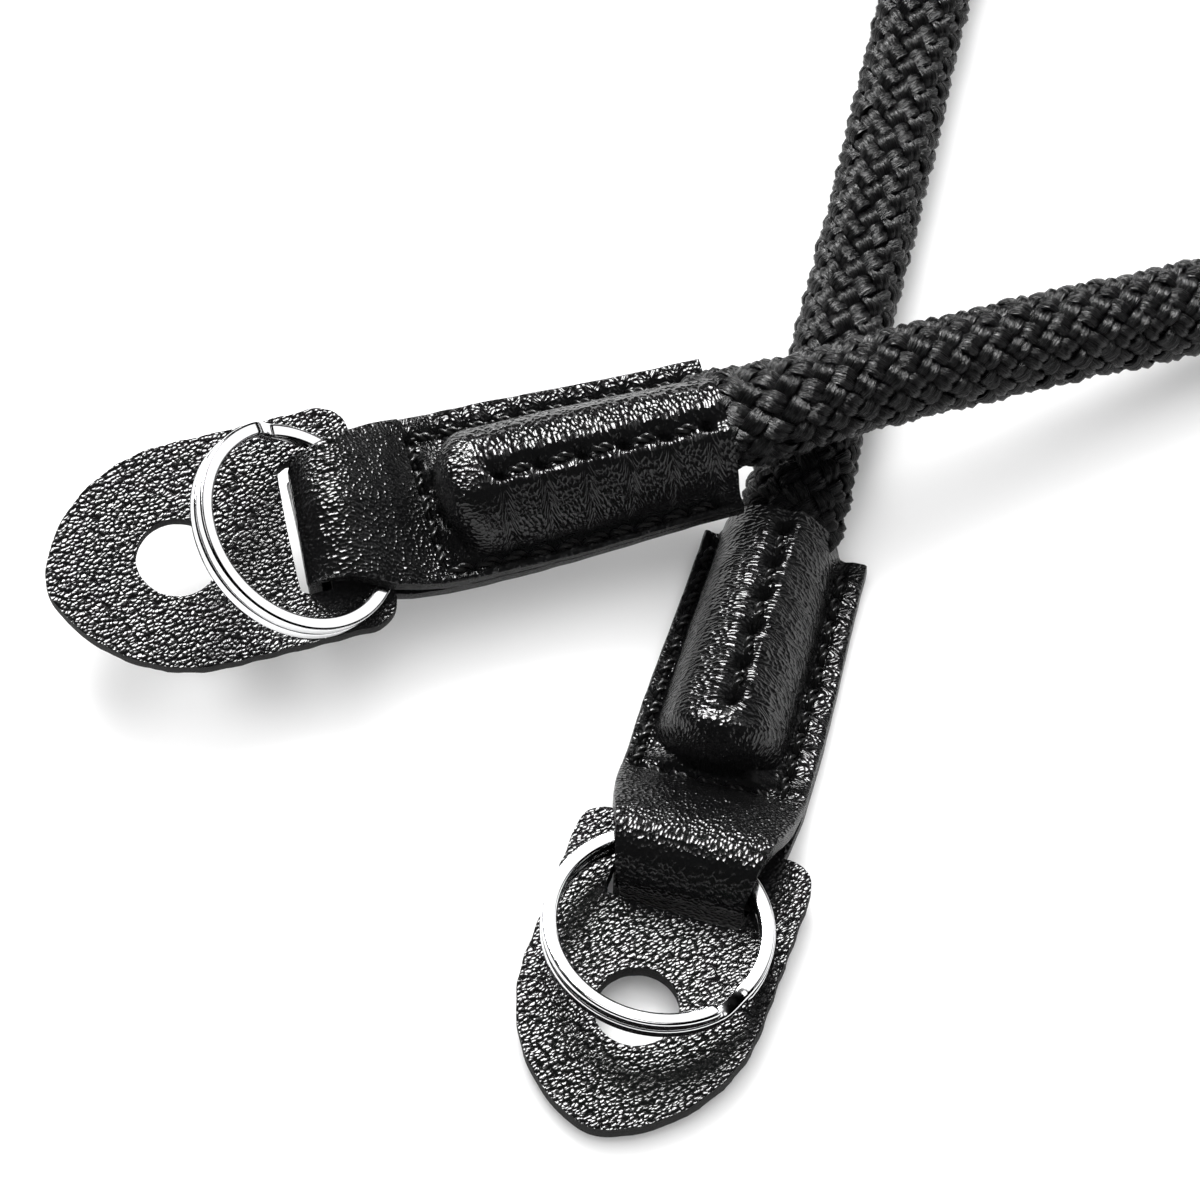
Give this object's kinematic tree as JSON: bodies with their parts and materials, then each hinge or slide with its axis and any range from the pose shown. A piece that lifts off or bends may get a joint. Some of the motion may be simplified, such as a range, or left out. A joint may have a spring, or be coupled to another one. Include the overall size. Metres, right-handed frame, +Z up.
{
  "type": "rope camera strap",
  "caption": "Round braided rope camera strap with stitched leather end tabs, leather ring guards and chrome split rings, its ends crossed on a table and its rope coiled behind.",
  "frame": {"origin": "on the table, under the middle of the box around the two ends' tabs, guards and rings", "axes": "+Z up from the table; +Y away from the viewer, towards the coiled rope; +X to the viewer's right"},
  "size_m": [0.1279, 0.2342, 0.0256],
  "materials": {
    "tab_leather": "fine pebble grain, semi-gloss",
    "guard_leather": "coarser pebble grain, semi-gloss",
    "ring_chrome": "polished",
    "braided_rope": "braided, slight sheen"
  },
  "bodies": {
    "root": {"end_a_tab": "tab_leather", "end_a_guard": "guard_leather", "end_a_ring": "ring_chrome", "end_b_tab": "tab_leather", "end_b_guard": "guard_leather", "end_b_ring": "ring_chrome", "rope_lead_a": "braided_rope", "rope_lead_b": "braided_rope", "rope_coil": "braided_rope"}
  },
  "joints": []
}
